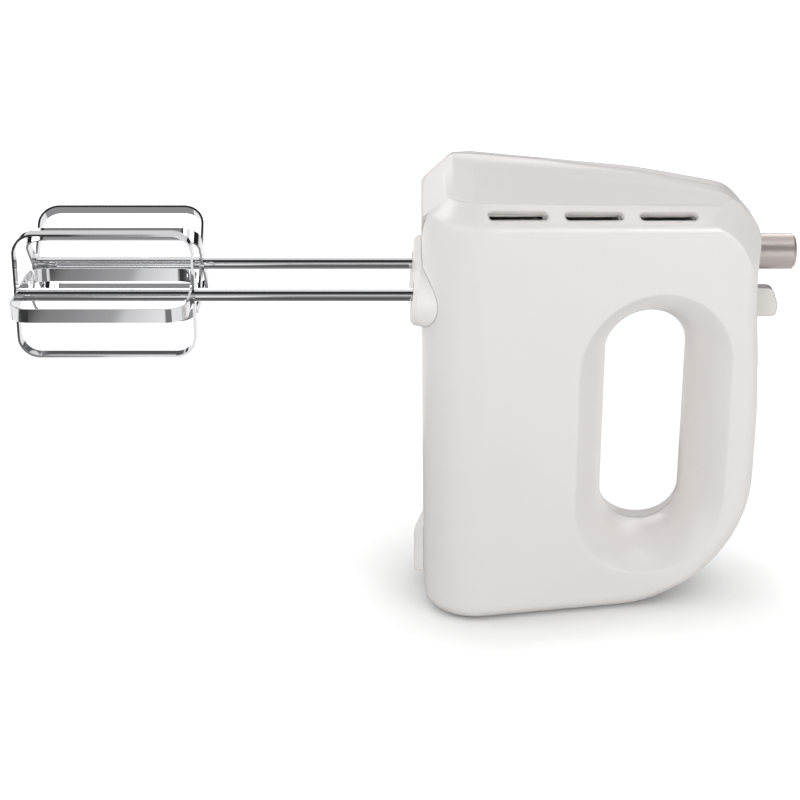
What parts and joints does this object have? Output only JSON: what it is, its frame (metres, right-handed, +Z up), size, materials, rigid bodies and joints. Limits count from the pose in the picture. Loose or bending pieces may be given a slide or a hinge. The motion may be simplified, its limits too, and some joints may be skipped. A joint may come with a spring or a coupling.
{
  "type": "hand mixer",
  "caption": "Hand-held electric mixer with two wire-loop beaters, an oblong finger hole, an eject button and a thumb speed slider.",
  "frame": {"origin": "on the heel's rest face, on the plane between the two housing halves, between the motor and the finger hole", "axes": "+Z up from the heel to the nose, +X from the beaters towards the handle, +Y away from the near side panel"},
  "size_m": [0.3282, 0.0911, 0.1985],
  "materials": {
    "shell": "injection-moulded ABS, lightly glossy warm white",
    "screw_steel": "zinc-plated steel",
    "die_cast": "as-cast zinc-aluminium",
    "bronze": "sintered bronze",
    "lamination": "oxidised electrical steel laminations",
    "copper_wire": "enamelled copper wire, varnished",
    "copper_bar": "turned copper",
    "black_plastic": "glass-filled nylon",
    "carbon": "pressed carbon",
    "capacitor_case": "flame-retardant film capacitor case",
    "drive_steel": "turned and ground steel",
    "gear_plastic": "natural acetal",
    "button_finish": "metallic grey lacquered plastic",
    "lever_plastic": "injection-moulded ABS",
    "beater_steel": "chrome-plated steel strip and wire"
  },
  "bodies": {
    "housing": {"housing_near": "shell", "housing_far": "shell", "housing_screws": "screw_steel", "vent_liner_near": "shell", "vent_liner_far": "shell", "socket_guard": "shell", "cord_inlet": "shell", "gearbox_frame": "die_cast", "spindle_bushes": "bronze", "stator_core": "lamination", "field_coils": "copper_wire", "lower_motor_plate": "black_plastic", "upper_motor_plate": "black_plastic", "lower_bearing": "bronze", "upper_bearing": "bronze", "brush_holders": "bronze", "carbon_brushes": "carbon", "suppressor_capacitor": "capacitor_case", "slider_track": "shell", "switch_block": "black_plastic", "switch_contacts": "bronze"},
    "armature": {"armature_shaft": "drive_steel", "armature_core": "lamination", "armature_winding": "copper_wire", "commutator": "copper_bar", "cooling_fan": "black_plastic"},
    "drive_near": {"spindle_near": "drive_steel", "worm_wheel_near": "gear_plastic"},
    "drive_far": {"spindle_far": "drive_steel", "worm_wheel_far": "gear_plastic"},
    "whisk_near": {"beater_shaft_near": "beater_steel", "beater_loop_a_near": "beater_steel", "beater_loop_b_near": "beater_steel"},
    "whisk_far": {"beater_shaft_far": "beater_steel", "beater_loop_a_far": "beater_steel", "beater_loop_b_far": "beater_steel"},
    "ejector": {"eject_button": "button_finish", "ejector_yoke": "gear_plastic"},
    "speed_lever": {"speed_slider": "lever_plastic", "slider_carriage": "black_plastic"}
  },
  "joints": [
    {"name": "armature_spin", "type": "hinge", "parent": "housing", "child": "armature", "pos_m": [-0.03, 0, 0.1435], "axis": [0, 0, 1], "continuous": true},
    {"name": "drive_near_spin", "type": "hinge", "parent": "housing", "child": "drive_near", "pos_m": [-0.03, -0.0215, 0.1435], "axis": [1, 0, 0], "continuous": true},
    {"name": "drive_far_spin", "type": "hinge", "parent": "housing", "child": "drive_far", "pos_m": [-0.03, 0.0215, 0.1435], "axis": [1, 0, 0], "continuous": true},
    {"name": "eject_press", "type": "slide", "parent": "housing", "child": "ejector", "axis": [-1, 0, 0], "range_m": [0, 0.008], "stiffness_N_per_m": 1500},
    {"name": "beater_near_slide", "type": "slide", "parent": "drive_near", "child": "whisk_near", "axis": [-1, 0, 0], "range_m": [0, 0.008]},
    {"name": "beater_far_slide", "type": "slide", "parent": "drive_far", "child": "whisk_far", "axis": [-1, 0, 0], "range_m": [0, 0.008]},
    {"name": "speed_slide", "type": "slide", "parent": "housing", "child": "speed_lever", "axis": [0.0769, 0, -0.997], "range_m": [0, 0.019]}
  ],
  "couplings": [
    {"joint": "drive_near_spin", "follows": "armature_spin", "ratio": 0.083333},
    {"joint": "drive_far_spin", "follows": "armature_spin", "ratio": -0.083333},
    {"joint": "beater_near_slide", "follows": "eject_press", "ratio": 1},
    {"joint": "beater_far_slide", "follows": "eject_press", "ratio": 1}
  ]
}
